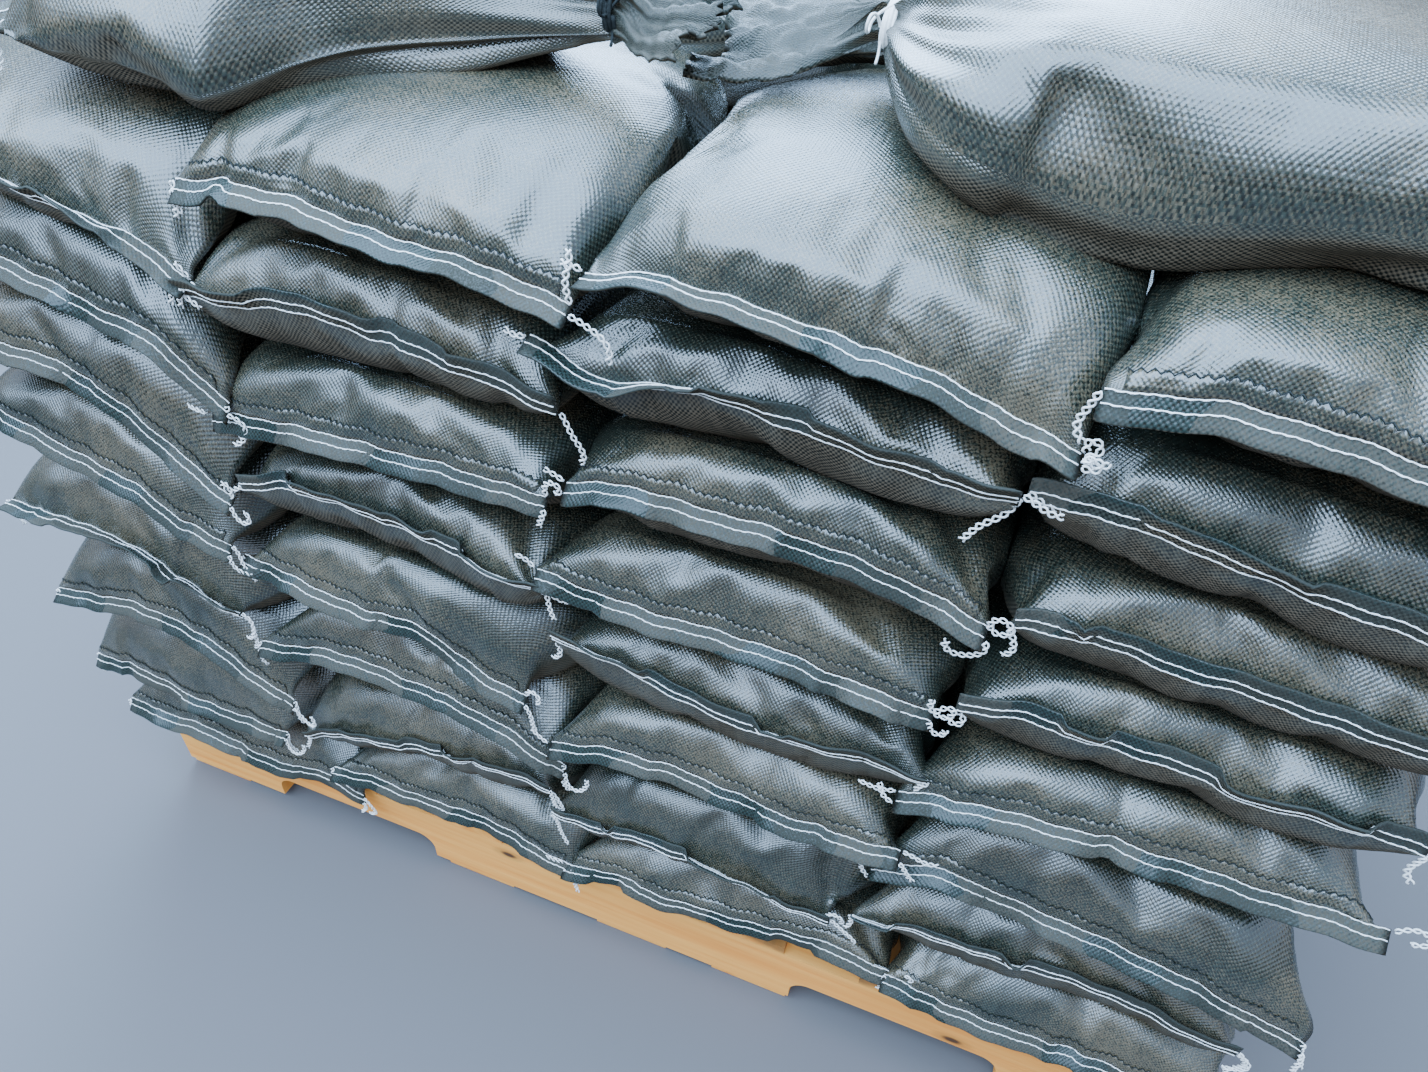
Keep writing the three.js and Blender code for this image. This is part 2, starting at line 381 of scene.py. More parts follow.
# Joins the parts, each a closed shell, into one mesh with the cloth's map. Seams are sharp edges.
def makePiece(name, parts):
    points = np.concatenate([part["points"] for part in parts]) / metre
    faces, places, finishOf, seams = [], [], [], []
    start = 0
    for part in parts:
        for corners, spots, finish in part["faces"]:
            faces += (corners + start).tolist()
            places.append(spots.reshape(-1, 2) / metre)
            finishOf.append(finish)
        if "seam" in part:
            seams.append(part["seam"] + start)
        start += len(part["points"])
    mesh = bpy.data.meshes.new(name)
    mesh.from_pydata(points.tolist(), [], faces)
    mesh.uv_layers.new(name="cloth").data.foreach_set("uv", np.concatenate(places).astype(np.float32).ravel())
    mesh.polygons.foreach_set("material_index", np.concatenate(finishOf).astype(np.int32))
    mesh.shade_smooth()
    edges = np.empty(len(mesh.edges) * 2, np.int32)
    mesh.edges.foreach_get("vertices", edges)
    sharp = np.isin(edges, np.concatenate(seams)).reshape(-1, 2).all(axis=1)
    mesh.attributes.new("sharp_edge", "BOOLEAN", "EDGE").data.foreach_set("value", sharp)
    for finish in sackFinishes:
        mesh.materials.append(finish)
    piece = bpy.data.objects.new(name, mesh)
    scene.collection.objects.link(piece)
    return piece


# Sacks. Each lies along +Y from its hem, and is centred at its neck in X and Z.

shape = {
    "hemRoot": -522,          # from the middle of the stack
    "hemReach": 24,           # from the root to the sack's far edge
    "stripDepth": 18.5,       # from the inner stitch line to the folded edge
    "stripHalf": 1.1,
    "stripSwing": 20,         # degrees that its slope changes at a kink
    "stripShift": 2.2,        # how far its line moves at a kink
    "kinks": 6,
    "stitchDepths": (0.5, 8.3),
    "stitchRadius": 0.56,
    "stitchPitch": 7.5,
    "flapReach": 12,          # from the inner stitch line up to the pinked edge
    "tooth": 7,
    "toothDepth": 1.3,
    "halfWidth": 158.2,
    "halfHeight": 49.1,
    "sideWidth": 150,         # from here out, the sides are pressed flat
    "sideStart": 60,          # and from this far behind the hem
    "sideRoom": 8.85,
    "softTop": 14,            # how far below its limit a top begins to bend
    "softDome": 24,
    "freeHeight": 60,
    "freeReach": 40,
    "domeLength": 400,
    "endLength": 66,
    "riseReach": 130,         # distance from the hem over which the ends rise with it
    "riseShare": 0.8,
    "tieRadius": 15,
    "cutWidth": 356,
}

pressedCone = {"length": 160, "width": 0.72, "thickness": 0.74}
looseCone = {"length": 230, "width": 0.76, "thickness": 0.62}
narrowCone = {"length": 230, "width": 0.42, "thickness": 0.66}
bluntCone = {"length": 130, "width": 0.86, "thickness": 0.76}

# The heights of each hem above its sack's middle at seven places from left to right, and the slope
# of its strip in degrees at three: below 0 it hangs, above 0 it is turned up
hanging = (-50, -50, -50)
turnedUp = (72, 76, 72)
hems = {
    "A1": ((-5, -13, -27, -38, -50, -58, -85), (-20, 50, -30)),
    "A2": ((0, 0, -5, -15, -27, -40, -95), hanging),
    "A3": ((0, 0, 0, -6, -30, -72, -105), hanging),
    "A4": ((20, 13, -4, -17, -27, -57, -68), hanging),
    "A5": ((-15, -14, -16, -24, -40, -70, -78), (-10, 20, 60)),
    "A6": ((-38, -32, -24, -28, -39, -70, -95), hanging),
    "A7": ((-53, -47, -51, -66, -72, -74, -76), hanging),
    "A8": ((-22, -31, -25, -41, -47, -34, -50), (-50, -40, -60)),
    "B1": ((-3, 2, 1, -7, -12, -17, -32), (-40, -22, -30)),
    "B2": ((5, 6, 13, 5, -1, -8, -18), turnedUp),
    "B3": ((-8, 1, 6, 6, 5, 2, 5), hanging),
    "B4": ((12, 27, 27, 22, 15, 4, 3), turnedUp),
    "B5": ((16, 14, 7, 5, 6, -35, -52), hanging),
    "B6": ((-7, 7, 14, 11, 15, -1, -36), hanging),
    "B7": ((-63, -30, -18, -6, 2, 8, 5), turnedUp),
    "B8": ((0, 3, -4, 2, 9, -3, -20), hanging),
    "C1": ((-10, 1, -1, -7, -16, -32, -50), (15, -22, -45)),
    "C2": ((42, 17, 28, 20, 12, 7, 10), (-30, 70, 80)),
    "C3": ((25, 39, 36, 34, 28, 18, 1), hanging),
    "C4": ((27, 21, 17, 17, 14, 8, 3), hanging),
    "C5": ((45, 42, 28, 14, 15, 16, 13), (60, 70, 70)),
    "C6": ((0, 19, 21, 14, 11, 16, 25), hanging),
    "C7": ((-32, -32, -19, -18, -28, -42, -45), turnedUp),
    "C8": ((-20, 0, -4, 2, 8, 18, 12), (-60, -75, -60)),
    "D1": ((-7, 3, 1, -9, -12, -14, -15), (-50, -42, -48)),
    "D2": ((7, 10, 2, -7, -13, -16, -20), turnedUp),
    "D3": ((9, 14, 3, 4, -1, 0, -5), turnedUp),
    "D4": ((17, 23, 20, 19, 10, 19, 13), turnedUp),
    "D5": ((-3, 20, 26, 28, 25, 26, 31), hanging),
    "D6": ((-8, 12, -2, -6, -13, -25, -47), hanging),
    "D7": ((-7, 0, 3, 5, 7, -5, -8), turnedUp),
    "D8": ((14, 2, -2, -5, -6, -8, -10), hanging),
}


# Plane waves in all directions, added up: soft lumps about one wavelength across, mostly between
# -1 and 1
def lumps(points, rng, wavelength, count=14):
    heading = rng.normal(size=(count, 3))
    heading *= (2 * math.pi / wavelength) / np.linalg.norm(heading, axis=1, keepdims=True)
    phase = rng.uniform(0, 2 * math.pi, count)
    return np.sin(points @ heading.T + phase).sum(axis=-1) / math.sqrt(count)


# A line through stations, rounded off by averaging it over a short reach
def softLine(values, share, reach=0.05):
    stations = np.linspace(0, 1, len(values))
    shifts = np.linspace(-reach, reach, 7)
    return np.mean([np.interp(share + shift, stations, values) for shift in shifts], axis=0)


# The hem as a function of share across it, depth below its root and lift off its cloth: depth and
# lift are turned by the slope there and added to the line of its root. It runs nearly straight
# between kinks, where its slope and line change within a few millimetres.
def hemSurface(ends, heights, turns, rng):
    (left, leftHeight), (right, rightHeight) = ends
    heights = (leftHeight, *heights[1:-1], rightHeight)
    kinks = np.sort(rng.uniform(0.04, 0.96, shape["kinks"]))
    swings = rng.uniform(-1, 1, len(kinks) + 1) * shape["stripSwing"]
    shifts = rng.uniform(-shape["stripShift"], shape["stripShift"], len(kinks) + 1)
    _, early, late = rng.uniform(0, 2 * math.pi, 3)

    def stepped(values, share, reach):
        changes = zip(np.diff(values), kinks)
        return values[0] + sum(change * smooth((share - kink) / reach + 0.5) for change, kink in changes)

    def surface(share, depth, lift):
        share, depth, lift = np.broadcast_arrays(share, depth, lift)
        slope = softLine(turns, share, 0.12) + stepped(swings, share, 0.02) + 5 * np.sin(share * 23 + early)
        slope = np.radians(slope)
        x = left + (right - left) * share
        ripple = 0.5 * np.sin(share * 31 + early) + 0.35 * np.sin(share * 61 + late)
        weave = 2.5 * np.sin(share * 6 + late) + stepped(shifts, share, 0.03) + ripple
        y = shape["hemRoot"] - depth * np.cos(slope) + lift * np.sin(slope) + weave
        z = softLine(heights, share, 0.03) + depth * np.sin(slope) + lift * np.cos(slope) + ripple
        return joined(x, y, z)

    return surface


# The share across a sack of each point of its ring: up from 0 to 1 over the top, and back below
def ringShares(columns):
    return 1 - np.abs(1 - 2 * np.arange(columns) / columns)


# How far the surface between two stacked sacks rises at their hems: with both hems' mean height
def contactRise(own, other, share):
    return shape["riseShare"] * (softLine(own, share, 0.1) + softLine(other, share, 0.1)) / 2


# The rise at each point: its ring's top and bottom rise apart, and both fade away from the hem
def endRise(sack, share, height, inward):
    part = np.clip(height / shape["halfHeight"], -1, 1) / 2 + 0.5
    top, bottom = (contactRise(sack["own"], sack[side], share) for side in ("above", "below"))
    return (bottom + (top - bottom) * part) * smooth(1 - inward / shape["riseReach"])


# How far along Y the tie is
def neckPlace(sack):
    return shape["hemRoot"] - shape["hemReach"] + sack["length"]


# A sack's skin as a grid of rings: the strip of its hem, a pillow end that opens out of it by a
# sine across a quarter turn, the body, a cone narrowed by a parabola to the tie, and the mouth
def sackSkin(sack, hem, rng):
    columns = sack["columns"]
    share = ringShares(columns)
    side = np.sign(columns / 2 - np.arange(columns)) * (share > 0) * (share < 1)
    hemRoot, halfWidth, halfHeight = (shape[key] for key in ("hemRoot", "halfWidth", "halfHeight"))
    top, bottom = (evenRing(columns, halfWidth, halfHeight, sack[key]) for key in ("topPower", "bottomPower"))
    ringX, ringZ = np.where(side > 0, top, bottom)
    slump = sack["slump"] / halfHeight  # the widest part of a slumped sack is below its middle
    ringZ = ringZ * (1 + slump * np.sign(ringZ)) - sack["slump"]
    neck = neckPlace(sack)
    coneStart = neck - sack["cone"]["length"]
    bodyStart = hemRoot + shape["endLength"]

    stripDepths = shape["stripDepth"] * np.array([1, 0.96, 0.78, 0.55, 0.33, 0.15])
    stripLift = shape["stripHalf"] * side[None, :] * np.array([0.6, 1, 1, 1, 1, 1])[:, None]
    stripRows = hem(share[None, :], stripDepths[:, None], stripLift)

    # Pillow end: a quarter turn from the root of the hem to the full body
    turn = np.linspace(0, 1, sack["endRows"]) * math.pi / 2
    root = hem(share, 0, shape["stripHalf"] * side)
    opening = np.sin(turn)[:, None] ** 0.85
    inward = (1 - np.cos(turn)[:, None]) ** 1.05
    widening = smooth(inward * 0.9 + 0.1 * turn[:, None] / (math.pi / 2))
    endX = root[None, :, 0] * (1 - widening) + ringX * widening
    endY = root[None, :, 1] + inward * (bodyStart - hemRoot) - (root[None, :, 1] - hemRoot) * inward
    rise = endRise(sack, share, ringZ, inward * (bodyStart - hemRoot))
    endZ = root[None, :, 2] * (1 - opening) + (ringZ + rise) * opening
    endRows = joined(endX, endY, endZ)

    bodyY = np.linspace(bodyStart, coneStart, sack["bodyRows"] + 1)[1:, None]
    bodyRise = endRise(sack, share, ringZ, bodyY - hemRoot)
    bodyRows = joined(ringX, bodyY, ringZ + bodyRise)

    # Cone: the section narrows through its middle size to the tie, and its pleats deepen
    way = np.linspace(0, 1, sack["coneRows"] + 1)[1:, None]
    cone = sack["cone"]
    tieWidth, tieHeight = shape["tieRadius"] / halfWidth, shape["tieRadius"] / halfHeight
    bend = 4 * way * (1 - way)
    width = 1 - way * (1 - tieWidth) + bend * (cone["width"] - (1 + tieWidth) / 2)
    height = 1 - way * (1 - tieHeight) + bend * (cone["thickness"] - (1 + tieHeight) / 2)
    drop = -sack["neckDrop"] * smooth(way)
    coneRows = joined(ringX * width, coneStart + way * cone["length"], ringZ * height + drop)

    # Mouth: behind the tie the two cloths lie flat together and fan out, crumpled, to a pinked edge
    out = np.linspace(0, 1, sack["mouthRows"] + 1)[1:, None]
    opened = smooth(out * 2.2)
    across = 2 * share - 1
    waves = sum(
        size * np.sin(across * number + rng.uniform(0, 6) + out * rng.uniform(-1, 1))
        for number, size in ((3, 4.5), (6, 3.5), (11, 2.4), (19, 1.7), (31, 1.0))
    )
    spread = across * shape["tieRadius"] * (1 + (sack["fan"] - 1) * out ** 0.75)
    mouthX = ringX * tieWidth * (1 - opened) + (spread + 0.4 * waves) * opened
    pinked = 2.2 * np.where(np.arange(columns) % 4 < 2, 1, -1) * (out == 1)
    mouthY = neck + out * sack["mouthLength"] * (1 - 0.12 * across ** 2 + 0.07 * np.sin(across * 5)) + pinked
    spots = joined(mouthX, mouthY, 0.0)
    crumple = lumps(spots, rng, 60) * 3.0 - np.abs(lumps(spots, rng, 42)) * 3.6
    crumple = crumple + np.abs(lumps(spots, rng, 20)) * 2.4
    mouthZ = ringZ * tieHeight * (1 - opened) + (1.3 * side + crumple) * opened + waves * out ** 0.6
    mouthZ = mouthZ - sack["neckDrop"] - sack["mouthDrop"] * out ** 1.2 + sack["mouthTilt"] * across * opened
    mouthRows = joined(mouthX, mouthY, mouthZ)

    points = np.concatenate([stripRows, endRows, bodyRows, coneRows, mouthRows])
    counts = (len(stripRows), len(endRows), len(bodyRows), len(coneRows), len(mouthRows))
    return points, counts


# Outward normals of a ring grid: the cross product of its steps around and along
def normalsOf(points):
    alongRows = np.gradient(points, axis=0)
    around = np.roll(points, -1, axis=1) - np.roll(points, 1, axis=1)
    normals = np.cross(around, alongRows)
    return normals / np.maximum(np.linalg.norm(normals, axis=-1, keepdims=True), 1e-9)


# Straight valleys: a line's depth falls as a bell curve with the distance from it, and fades
# towards its far end
def creases(points, starts, headings, lengths, depths, width):
    offset = points[..., None, :2] - starts
    along = (offset * headings).sum(-1)
    apart = np.abs(offset[..., 0] * headings[:, 1] - offset[..., 1] * headings[:, 0])
    fade = smooth(1 - along / lengths) * smooth(along / 12 + 1)
    return (-depths * fade * np.exp(-(apart / width) ** 2)).sum(-1)


# Wavelengths or counts with heights, the reach of the puckers from the hem, and the ranges that
# single creases are drawn from
wrinkles = {
    "lumps": ((130, 1.6), (52, 0.35), (24, 0.1)),
    "puckers": ((24, 1), (13, 0.6)),
    "puckerReach": 30,
    "creasePlace": (90, 165),
    "creaseHeading": (35, 80),
    "creaseLength": (40, 100),
    "creaseDepth": (0.4, 1.6),
    "creaseWidth": 5.5,
    "pleats": ((7, 0.9), (11, 1.0), (16, 0.8), (25, 0.5)),
}


# Moves the skin along its normals by the sum of its lumps, puckers, creases and pleats
def wrinkled(points, counts, sack, rng):
    strips, ends, bodies, cones, mouths = counts
    columns = points.shape[1]
    row = np.arange(len(points))[:, None]
    onBody = smooth((row - strips) / 5.0)
    inward = points[..., 1] - shape["hemRoot"]
    offset = sum(lumps(points, rng, wavelength) * size for wavelength, size in wrinkles["lumps"])

    # Puckers stand square to the hem and fade away from it
    across = ringShares(columns) * shape["cutWidth"]
    stretched = joined(across, inward * 0.12, points[..., 2] * 0.1)
    pucker = sum(lumps(stretched, rng, wavelength) * size for wavelength, size in wrinkles["puckers"])
    offset = offset + pucker * sack["pucker"] * np.exp(-np.maximum(inward, 0) / wrinkles["puckerReach"])

    # Creases run from the corners and from some places along the hem
    lines = sack["creases"]
    side = np.where(rng.uniform(size=lines) < 0.5, -1, 1)
    starts = joined(side * rng.uniform(*wrinkles["creasePlace"], lines), float(shape["hemRoot"]))
    heading = rng.uniform(*np.radians(wrinkles["creaseHeading"]), lines)
    headings = joined(-side * np.cos(heading), np.sin(heading))
    lengths, depths = (rng.uniform(*wrinkles[key], lines) for key in ("creaseLength", "creaseDepth"))
    offset = offset + creases(points, starts, headings, lengths, depths, wrinkles["creaseWidth"])

    # Pleats gather towards the tie
    way = np.clip((row - strips - ends - bodies) / cones, 0, 1)
    angle = np.arange(columns) * 2 * math.pi / columns
    pleats = sum(size * np.sin(angle * number + rng.uniform(0, 6)) for number, size in wrinkles["pleats"])
    beyond = np.clip((row - strips - ends - bodies - cones) / mouths * 3, 0, 1)
    depth = sack["pleatDepth"] * smooth(way * 1.6) * (1.15 - way) + 1.6 * (way >= 1) * (1 - beyond)
    offset = offset * (1 - smooth(way * 1.3) * 0.7) * (1 - beyond) + pleats * depth * (1 - beyond)

    return points + normalsOf(points) * (offset * onBody)[..., None]


# Folds of one sack, each from a place on its hem: its heading in degrees, length, depth and width
folds = {
    "B1": ((112, 86, 100, 4.5, 9), (137, 88, 100, -3.5, 8), (-60, 60, 70, 1.6, 7)),
    "C1": ((-120, 75, 90, 1.6, 9),),
    "C2": ((-128, 40, 45, 3.0, 5), (-112, 62, 40, -2.5, 4), (-95, 50, 40, 2.6, 5)),
    "C3": ((-120, 60, 60, 2.8, 6), (-98, 66, 55, -2.2, 5), (128, 120, 60, 2.4, 6)),
    "C5": ((-90, 70, 60, 2.4, 6), (60, 100, 50, 2.0, 6)),
    "C7": ((-112, 70, 60, 3.2, 6), (-94, 80, 60, -2.5, 5), (120, 110, 60, 3.0, 7)),
    "A1": ((95, 100, 90, 2.4, 8), (138, 95, 90, 3.2, 8)),
    "A2": ((120, 110, 80, 3.0, 7),),
    "B2": ((118, 100, 80, 3.0, 7), (-130, 70, 60, 2.2, 6)),
    "B3": ((128, 105, 60, 2.8, 6),),
    "D1": ((-120, 70, 90, 2.4, 8),),
    "D2": ((-130, 60, 80, 2.8, 7), (-100, 75, 60, 1.8, 6)),
    "D8": ((-140, 70, 50, 5.0, 6), (-126, 80, 50, -4.0, 5), (-108, 75, 50, 4.0, 6)),
}


# Moves the skin along its normals by the sack's own folds
def folded(skin, lines):
    for x, heading, length, depth, width in lines:
        heading = math.radians(heading)
        headings = np.array([[math.cos(heading), math.sin(heading)]])
        valley = creases(skin, np.array([[x, shape["hemRoot"]]]), headings, length, depth, width)
        inward = skin[..., 1] - shape["hemRoot"]
        skin = skin + normalsOf(skin) * (valley * smooth(inward / 9))[..., None]
    return skin


# Flat where its neighbours lie against it: heights and widths past a limit are clipped, and over
# the top they near it as a hyperbolic tangent. A domed sack has none above, and rises as a sine.
def pressedFlat(sack, points):
    inward = points[..., 1] - shape["hemRoot"]
    share = ringShares(points.shape[1])
    rise = endRise(sack, share, points[..., 2], np.maximum(inward, 0))
    free = shape["freeHeight"] * smooth(1 - inward / shape["freeReach"])  # nothing presses round the hem
    height = points[..., 2] - rise
    limit = shape["halfHeight"]
    soft, above = (shape["softDome"], 0) if sack["dome"] else (shape["softTop"], free)
    rounded = limit + above - soft  # above this the top bends towards its limit
    height = np.where(height > rounded, rounded + soft * np.tanh((height - rounded) / (1.55 * soft)), height)
    arch = np.sin(math.pi * np.clip(inward / shape["domeLength"], 0, 1))
    height = height + sack["dome"] * np.clip(height / limit, 0, 1) * arch
    points[..., 2] = np.maximum(height, -limit - free) + rise
    beyond = np.abs(points[..., 0]) - shape["sideWidth"]
    flatSide = np.sign(points[..., 0]) * (shape["sideWidth"] + np.minimum(beyond * 1.5, shape["sideRoom"]))
    pressed = (beyond > 0) & (inward > shape["sideStart"]) & sack["packed"]
    points[..., 0] = np.where(pressed, flatSide, points[..., 0])
    return points


# A line of chain stitches along the hem: a thread whose radius swells as a sine at each stitch
def stitchLine(hem, depth, lift, steps, sides):
    share = np.linspace(0.004, 0.996, steps)
    beat = np.sin(share * shape["cutWidth"] * 2 * math.pi / shape["stitchPitch"])
    path = hem(share, depth + 0.3 * beat, lift)
    return tubePart(path, shape["stitchRadius"] * (1 + 0.22 * beat), sides, threadIndex)


# A loose tail of chain: two strands that swing as opposite sines and cross at every link, bent
# along a curve in the plane of the hems. Its heading is in degrees, 0 to the right and 90 up, and
# bend is added over its length.

chain = {"link": 5.6, "step": 1.3, "swing": 2.0, "lift": 0.8, "radius": 0.8}


def chainTail(start, heading, bend, length, rng):
    along = np.linspace(0, length, max(10, int(length / chain["step"])))
    turned = np.radians(heading + bend * (along / length) ** 1.4)
    turned = turned + 0.25 * np.sin(along / 6 + rng.uniform(0, 6))
    step = along[1] - along[0]
    x = start[0] + np.cumsum(np.cos(turned)) * step
    z = start[2] + np.cumsum(np.sin(turned)) * step
    y = start[1] - 1.5 + 1.5 * np.sin(along / 9 + rng.uniform(0, 6))
    parts = []
    for sign in (-1, 1):
        swing = sign * chain["swing"] * np.sin(along * math.pi / chain["link"])
        lift = sign * chain["lift"] * np.cos(along * math.pi / chain["link"])
        path = joined(x - np.sin(turned) * swing, y + lift, z + np.cos(turned) * swing)
        parts.append(tubePart(path, chain["radius"], 4, threadIndex))
    return parts


# The heading, bend and length of the tails at the left and right ends of some hems, and of others
tails = {
    "A1": (((170, 20, 20),), ((-35, -30, 18), (-150, 60, 20), (100, 30, 14))),
    "A3": (((170, 30, 26),), ((70, 250, 30), (-85, 230, 36))),
    "A4": (((200, 20, 20),), ((-55, -20, 40), (-75, 60, 30))),
    "B1": (((-112, 14, 30), (-70, 30, 16)), ((86, 10, 36), (-2, -95, 44))),
    "B2": (((-150, 40, 20), (-30, -20, 24)), ((-38, -75, 44),)),
    "B3": (((160, 30, 20),), ((115, -270, 36), (-95, -10, 20))),
    "B4": (((-170, 20, 14),), ((-5, 20, 20), (-55, -40, 30))),
    "B5": (((-100, -20, 24),), ((95, -250, 28), (-70, -10, 34))),
    "C1": (((150, 10, 14),), ((15, 290, 26), (-15, 260, 24), (-60, 120, 16))),
    "C2": (((200, -30, 16),), ((-123, -8, 48), (-20, 20, 26))),
    "C3": (((170, -20, 16),), ((75, -345, 44), (-75, -215, 48))),
    "C4": (((150, 20, 18),), ((80, -330, 42), (-100, 200, 26))),
    "C6": (((140, 30, 20),), ((10, -20, 30), (-60, 20, 26))),
    "C7": (((-80, 10, 50),), ((120, -220, 40), (-20, -40, 34))),
    "D2": (((-160, 20, 20), (-25, -10, 26)), ((-60, 20, 20),)),
    "D5": (((170, 30, 30), (150, -40, 22)), ((60, -250, 40),)),
    "C8": (((150, 30, 20),), ((-70, 260, 40), (-10, -60, 20))),
}
tailKinds = [(-95, 40, 32), (-60, -70, 45), (-120, 80, 38), (-30, -150, 42), (-100, -20, 28), (-80, 200, 48)]


# A hem's own tails, or else drawn ones: one at its left end and two at its right
def hemTails(name, rng):
    if name in tails:
        return tails[name]
    kinds = [tailKinds[number] for number in rng.integers(len(tailKinds), size=3)]
    left, right = [(180 - heading, -bend, length * 0.8) for heading, bend, length in kinds[:1]], kinds[1:]
    return left, right


# The stitch lines on both faces of the hem, and the tails at its ends
def hemThreads(hem, fine, turns, ends, rng):
    parts = []
    lift = shape["stripHalf"] + 0.2
    for face in (1, -1):
        steps, sides = (150, 4) if fine and (face > 0 or max(turns) > 0) else (60, 3)
        for depth in shape["stitchDepths"]:
            parts.append(stitchLine(hem, depth, face * lift, steps, sides))
    for share, chains in zip((0.0, 1.0), ends):
        for number, (heading, bend, length) in enumerate(chains):
            depth = shape["stitchDepths"][number % 2]
            parts += chainTail(hem(share, depth, 2.0), heading, bend, length, rng)
    return parts


# The folded-over cloth outside the seam: rings at set distances up the bulge from its root, with a zigzag
# on the last, its pinked edge. A dark tube along that edge is painted shadow, standing in for the shade under
# it.
def hemFlap(skin, counts):
    columns = skin.shape[1]
    teeth = 2 * int(shape["cutWidth"] / shape["tooth"])
    first, rows = counts[0], counts[1]
    top = skin[first:first + rows, :columns // 2 + 1]
    normals = normalsOf(skin)[first:first + rows, :columns // 2 + 1]
    shares = ringShares(columns)[:columns // 2 + 1]
    steps = np.linalg.norm(np.diff(top, axis=0), axis=-1)
    reach = np.concatenate([np.zeros((1, top.shape[1])), np.cumsum(steps, axis=0)])
    zigzag = np.where(np.arange(teeth) % 2 == 0, 1, -1) * shape["toothDepth"]
    levels = np.array([0.5, 4, 8, shape["flapReach"]])
    column = np.interp(np.linspace(0.03, 0.97, teeth), shares, np.arange(len(shares)))
    low = np.minimum(column.astype(int), len(shares) - 2)
    part = column - low
    outer, inner = [], []
    for level in levels:
        wanted = level + (zigzag if level == levels[-1] else 0 * zigzag)
        place, facing = [], []
        for near, weight in ((low, 1 - part), (low + 1, part)):
            at = np.array([np.interp(w, reach[:, k], np.arange(rows)) for w, k in zip(wanted, near)])
            base = np.minimum(at.astype(int), rows - 2)
            rest = (at - base)[:, None]
            place.append((top[base, near] * (1 - rest) + top[base + 1, near] * rest) * weight[:, None])
            facing.append(normals[base, near] * weight[:, None])
        place, facing = sum(place), sum(facing)
        lift = 0.2 + 0.5 * level / levels[-1]
        outer.append(place + facing * (lift + 0.3))
        inner.append(place + facing * (lift - 0.1))
    paintedEdgeShadow = tubePart(place + facing * 0.8, 0.6, 4, cordAndShadowIndex)  # painted shadow: this dark tube stands in for the shade under the pinked edge
    rings = [np.concatenate([over, under[::-1]]) for over, under in zip(outer, inner)]
    return [gridPart(np.array(rings), clothIndex, shape["cutWidth"] * 2, levels), paintedEdgeShadow]


# A sack before it is filled: its skin as a grid, with all that its finishing needs
def sackBlank(sack, ends, heights, turns, seed):
    rng = np.random.default_rng(seed)
    hem = hemSurface(ends, heights, turns, rng)
    skin, counts = sackSkin(sack, hem, rng)
    skin = wrinkled(skin, counts, sack, rng)
    ends = hemTails(sack["tails"], rng) if sack["fine"] else ((), ())
    blank = {"sack": sack, "hem": hem, "turns": turns, "tails": ends}
    return {**blank, "skin": skin, "counts": counts, "rng": rng}


# Cloth simulation of all the blanks at once: the skin between hem and tie is a little larger
# than its shape, and pressure fills it, so the spare cloth gathers by the hem and the tie
filling = {
    "frames": 20,
    "cloth": {
        "quality": 5, "mass": 0.25, "use_pressure": True, "uniform_pressure_force": 5.0,
        "tension_stiffness": 22, "compression_stiffness": 22, "shear_stiffness": 11, "bending_stiffness": 8.0,
        "vertex_group_mass": "pin", "vertex_group_shrink": "spare", "shrink_min": -0.012, "shrink_max": -0.24,
    },
    "hemReach": 75,
    "cap": 13,                # the furthest that a point may move
    "wholeRows": 12,          # a sack with more rows than this is filled up to its tie
}


def isWhole(sack):
    return sack["bodyRows"] > filling["wholeRows"]


# The spare cloth at each point, as a share of the most that there is
def spareCloth(sack, inward, columns, rng):
    uneven = 1 + 0.9 * np.sin(ringShares(columns) * rng.uniform(5, 14) + rng.uniform(0, 6))
    atHem = sack["spareAtHem"] * smooth(1 - inward / filling["hemReach"])[:, None] * uneven
    coneWay = (inward - inward[-1]) / sack["cone"]["length"] + 1
    atTie = sack["spareAtTie"] * smooth(coneWay * 1.25 - 0.25)[:, None] * isWhole(sack)
    return np.clip((atHem + atTie) / -filling["cloth"]["shrink_max"], 0, 1)


# Gravity is off, because the sacks lie in place already and only pressure fills them
def addCloth(pad):
    modifier = pad.modifiers.new("fill", "CLOTH")
    for key, value in filling["cloth"].items():
        setattr(modifier.settings, key, value)
    modifier.settings.effector_weights.gravity = 0
    modifier.collision_settings.use_collision = False
    modifier.point_cache.frame_end = filling["frames"]


